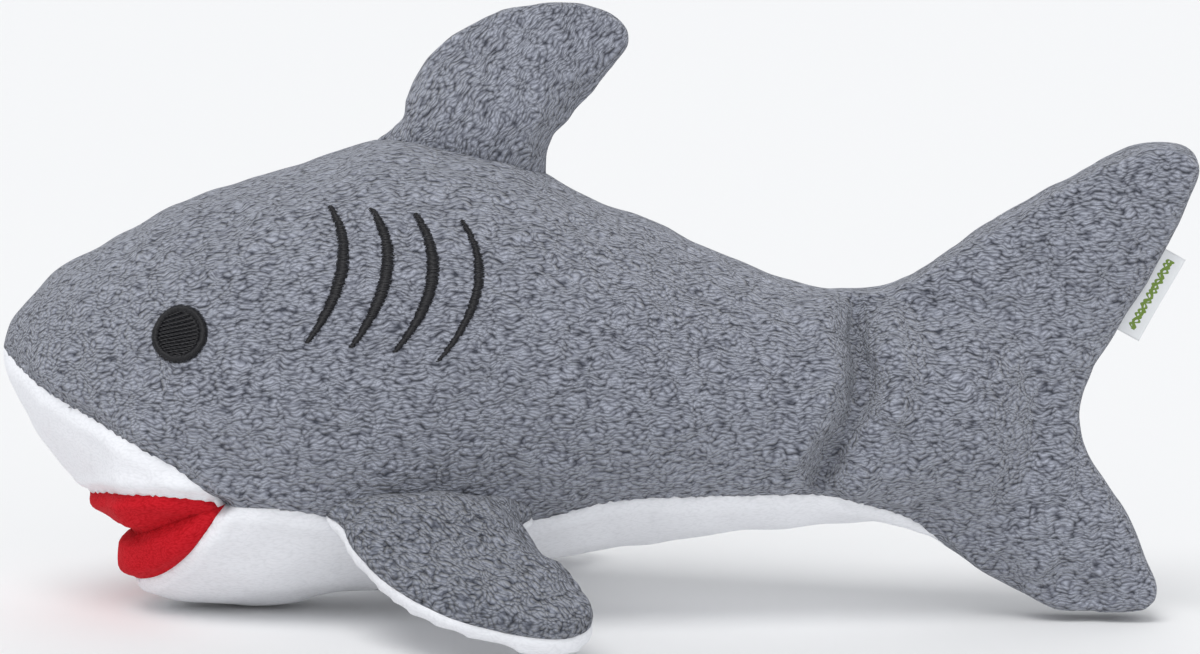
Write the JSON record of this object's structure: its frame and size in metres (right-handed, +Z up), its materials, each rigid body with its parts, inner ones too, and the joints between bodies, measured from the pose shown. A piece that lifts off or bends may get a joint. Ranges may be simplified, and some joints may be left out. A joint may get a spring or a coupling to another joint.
{
  "type": "plush shark",
  "caption": "Sewn plush shark that lies on its belly, with stuffed fins and tail that bend at their seams, embroidered eyes and gills, and a felt-like open mouth.",
  "frame": {"origin": "on the table, below the middle of the toy's box", "axes": "+Z up, -X towards the nose, -Y to the shark's left"},
  "size_m": [0.3584, 0.2008, 0.181],
  "materials": {
    "grey_pile": "short plush pile",
    "white_pile": "short plush pile",
    "red_pile": "brushed fabric",
    "fibre_filling": "loose polyester fibre",
    "black_thread": "satin stitch",
    "white_satin": "woven satin ribbon"
  },
  "bodies": {
    "trunk": {"body_panel_left": "grey_pile", "body_panel_right": "grey_pile", "snout_underside": "white_pile", "mouth_upper": "red_pile", "mouth_lower": "red_pile", "belly_panel": "white_pile", "body_filling": "fibre_filling", "eye_left": "black_thread", "eye_right": "black_thread", "gill_left_1": "black_thread", "gill_left_2": "black_thread", "gill_left_3": "black_thread", "gill_left_4": "black_thread", "gill_right_1": "black_thread", "gill_right_2": "black_thread", "gill_right_3": "black_thread", "gill_right_4": "black_thread"},
    "tail": {"tail_panel_left": "grey_pile", "tail_panel_right": "grey_pile", "tail_underside": "white_pile", "tail_filling": "fibre_filling"},
    "dorsal_fin": {"dorsal_fin_panel_left": "grey_pile", "dorsal_fin_panel_right": "grey_pile", "dorsal_fin_filling": "fibre_filling"},
    "pectoral_fin_left": {"pectoral_left_upper": "grey_pile", "pectoral_left_lower": "white_pile", "pectoral_left_filling": "fibre_filling"},
    "pectoral_fin_right": {"pectoral_right_upper": "grey_pile", "pectoral_right_lower": "white_pile", "pectoral_right_filling": "fibre_filling"},
    "label": {"label": "white_satin"}
  },
  "joints": [
    {"name": "tail_bend", "type": "hinge", "parent": "trunk", "child": "tail", "pos_m": [0.0558, 0, 0.06], "axis": [0, 0, 1], "range_deg": [-30, 30], "stiffness_Nm_per_rad": 0.6},
    {"name": "dorsal_fin_sway", "type": "hinge", "parent": "trunk", "child": "dorsal_fin", "pos_m": [-0.06001, 0, 0.14819], "axis": [0.969, 0, -0.2469], "range_deg": [-35, 35], "stiffness_Nm_per_rad": 0.05},
    {"name": "pectoral_left_flap", "type": "hinge", "parent": "trunk", "child": "pectoral_fin_left", "pos_m": [-0.07494, -0.04857, 0.03183], "axis": [-0.9919, -0.1273, 0], "range_deg": [-20, 35], "stiffness_Nm_per_rad": 0.06},
    {"name": "pectoral_right_flap", "type": "hinge", "parent": "trunk", "child": "pectoral_fin_right", "pos_m": [-0.07494, 0.04857, 0.03183], "axis": [0.9919, -0.1273, 0], "range_deg": [-20, 35], "stiffness_Nm_per_rad": 0.06},
    {"name": "label_flap", "type": "hinge", "parent": "tail", "child": "label", "pos_m": [0.16378, 0, 0.09826], "axis": [-0.4689, 0, -0.8832], "range_deg": [-35, 35], "stiffness_Nm_per_rad": 0.0004}
  ]
}
